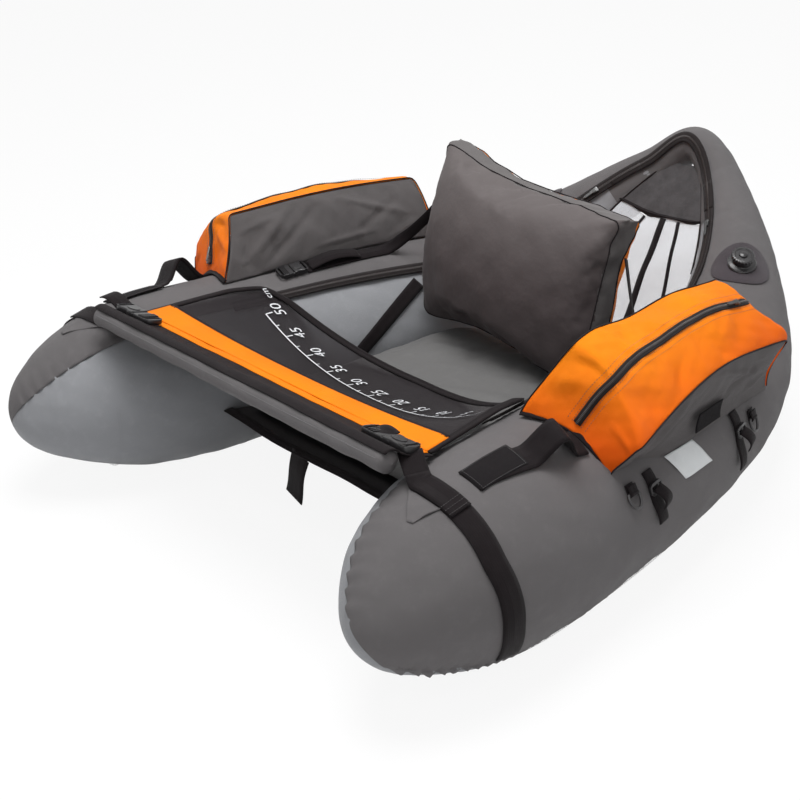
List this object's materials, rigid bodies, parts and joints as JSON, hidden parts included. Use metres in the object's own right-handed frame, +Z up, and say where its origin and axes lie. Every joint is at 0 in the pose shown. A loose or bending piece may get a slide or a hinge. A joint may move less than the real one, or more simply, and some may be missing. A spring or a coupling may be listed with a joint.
{
  "type": "float tube",
  "caption": "Open-bow inflatable float tube: side tubes joined at a raised stern, with a seat, backrest, side bags, stabiliser bar and see-through lap apron.",
  "frame": {"origin": "on the floor under the middle of the hull", "axes": "+Z up, the open bow faces -Y and the raised stern +Y, +X to the angler's left when seated facing the bow"},
  "size_m": [1.0214, 1.1118, 0.45],
  "materials": {
    "cover_fabric": "coated dark grey weave, matt",
    "hull_vinyl": "light grey coated tarpaulin, satin",
    "bladder_film": "plain film, satin",
    "zip_tape": "black coil and tape",
    "slider_metal": "plain metal slider",
    "patch_vinyl": "satin reinforcing patch",
    "valve_plastic": "moulded, satin",
    "webbing": "ribbed black webbing",
    "buckle_plastic": "moulded, satin gloss",
    "bag_fabric": "dark grey weave, matt",
    "orange_fabric": "orange weave, matt",
    "cushion_fabric": "dark grey weave over foam",
    "back_fabric": "dark grey-brown weave over foam",
    "sling_fabric": "black weave, matt",
    "white_mesh": "open white mesh",
    "black_mesh": "fine see-through black mesh",
    "bar_aluminium": "drawn tube, satin",
    "ring_plastic": "moulded, satin"
  },
  "bodies": {
    "hull": {"tube_cover_left": "cover_fabric", "tube_hull_left": "hull_vinyl", "bladder_left": "bladder_film", "main_zipper_left": "zip_tape", "valve_patch_left": "patch_vinyl", "valve_base_left": "valve_plastic", "buckle_socket_left": "buckle_plastic", "tube_strap_left": "webbing", "rod_strap_left": "webbing", "bag_left": "bag_fabric", "bag_top_left": "orange_fabric", "bag_zipper_left": "zip_tape", "back_buckle_left": "buckle_plastic", "back_strap_left": "webbing", "ring_tab_front_left": "webbing", "lash_strap_front_left": "webbing", "ring_tab_rear_left": "webbing", "lash_strap_rear_left": "webbing", "tube_cover_right": "cover_fabric", "tube_hull_right": "hull_vinyl", "bladder_right": "bladder_film", "main_zipper_right": "zip_tape", "valve_patch_right": "patch_vinyl", "valve_base_right": "valve_plastic", "buckle_socket_right": "buckle_plastic", "tube_strap_right": "webbing", "rod_strap_right": "webbing", "bag_right": "bag_fabric", "bag_top_right": "orange_fabric", "bag_zipper_right": "zip_tape", "back_buckle_right": "buckle_plastic", "back_strap_right": "webbing", "ring_tab_front_right": "webbing", "lash_strap_front_right": "webbing", "ring_tab_rear_right": "webbing", "lash_strap_rear_right": "webbing", "seat_sling": "sling_fabric", "cargo_mesh": "white_mesh", "stern_panel": "cover_fabric", "seat_cushion": "cushion_fabric", "front_bar": "bar_aluminium", "bar_sleeve": "cover_fabric", "front_band": "webbing", "seat_front_strap": "webbing"},
    "apron": {"apron_mesh": "black_mesh", "apron_stripe": "orange_fabric"},
    "backrest": {"backrest_cushion": "back_fabric"},
    "valve_cap_left": {"valve_cap_left": "valve_plastic"},
    "valve_cap_right": {"valve_cap_right": "valve_plastic"},
    "d_ring_front_left": {"d_ring_front_left": "ring_plastic"},
    "d_ring_front_right": {"d_ring_front_right": "ring_plastic"},
    "d_ring_rear_left": {"d_ring_rear_left": "ring_plastic"},
    "d_ring_rear_right": {"d_ring_rear_right": "ring_plastic"},
    "main_zip_slider_left": {"main_zip_slider_left": "slider_metal"},
    "main_zip_slider_right": {"main_zip_slider_right": "slider_metal"},
    "bag_zip_slider_left": {"bag_zip_slider_left": "slider_metal"},
    "bag_zip_slider_right": {"bag_zip_slider_right": "slider_metal"},
    "buckle_plug_left": {"buckle_plug_left": "buckle_plastic"},
    "buckle_plug_right": {"buckle_plug_right": "buckle_plastic"}
  },
  "joints": [
    {"name": "apron_flip", "type": "hinge", "parent": "hull", "child": "apron", "pos_m": [0, -0.35625, 0.2728], "axis": [1, 0, 0], "range_deg": [0, 100]},
    {"name": "backrest_fold", "type": "hinge", "parent": "hull", "child": "backrest", "pos_m": [0, 0.07604, 0.214], "axis": [1, 0, 0], "range_deg": [0, 50]},
    {"name": "valve_cap_left_open", "type": "hinge", "parent": "hull", "child": "valve_cap_left", "pos_m": [-0.23976, 0.35238, 0.28065], "axis": [0.7575, -0.6411, 0.1234], "range_deg": [0, 150]},
    {"name": "valve_cap_right_open", "type": "hinge", "parent": "hull", "child": "valve_cap_right", "pos_m": [0.23976, 0.35238, 0.28065], "axis": [0.7575, 0.6411, -0.1234], "range_deg": [0, 150]},
    {"name": "d_ring_front_left_swing", "type": "hinge", "parent": "hull", "child": "d_ring_front_left", "pos_m": [-0.47804, -0.15417, 0.18995], "axis": [0.1442, 0.9889, -0.0356], "range_deg": [0, 120]},
    {"name": "d_ring_front_right_swing", "type": "hinge", "parent": "hull", "child": "d_ring_front_right", "pos_m": [0.47804, -0.15417, 0.18995], "axis": [0.1442, -0.9889, 0.0356], "range_deg": [0, 120]},
    {"name": "d_ring_rear_left_swing", "type": "hinge", "parent": "hull", "child": "d_ring_rear_left", "pos_m": [-0.42336, 0.15203, 0.1609], "axis": [0.2955, 0.9552, -0.0171], "range_deg": [0, 120]},
    {"name": "d_ring_rear_right_swing", "type": "hinge", "parent": "hull", "child": "d_ring_rear_right", "pos_m": [0.42336, 0.15203, 0.1609], "axis": [0.2955, -0.9552, 0.0171], "range_deg": [0, 120]},
    {"name": "main_zip_left_slide", "type": "slide", "parent": "hull", "child": "main_zip_slider_left", "axis": [-0.419, -0.7565, -0.5022], "range_m": [0, 0.038]},
    {"name": "main_zip_right_slide", "type": "slide", "parent": "hull", "child": "main_zip_slider_right", "axis": [0.419, -0.7565, -0.5022], "range_m": [0, 0.038]},
    {"name": "bag_zip_left_slide", "type": "slide", "parent": "hull", "child": "bag_zip_slider_left", "axis": [-0.5703, 0.4358, 0.6963], "range_m": [0, 0.04]},
    {"name": "bag_zip_right_slide", "type": "slide", "parent": "hull", "child": "bag_zip_slider_right", "axis": [0.2662, -0.9623, 0.0559], "range_m": [0, 0.04]},
    {"name": "buckle_left_release", "type": "slide", "parent": "hull", "child": "buckle_plug_left", "axis": [1, 0, 0], "range_m": [0, 0.022]},
    {"name": "buckle_right_release", "type": "slide", "parent": "hull", "child": "buckle_plug_right", "axis": [-1, 0, 0], "range_m": [0, 0.022]}
  ]
}
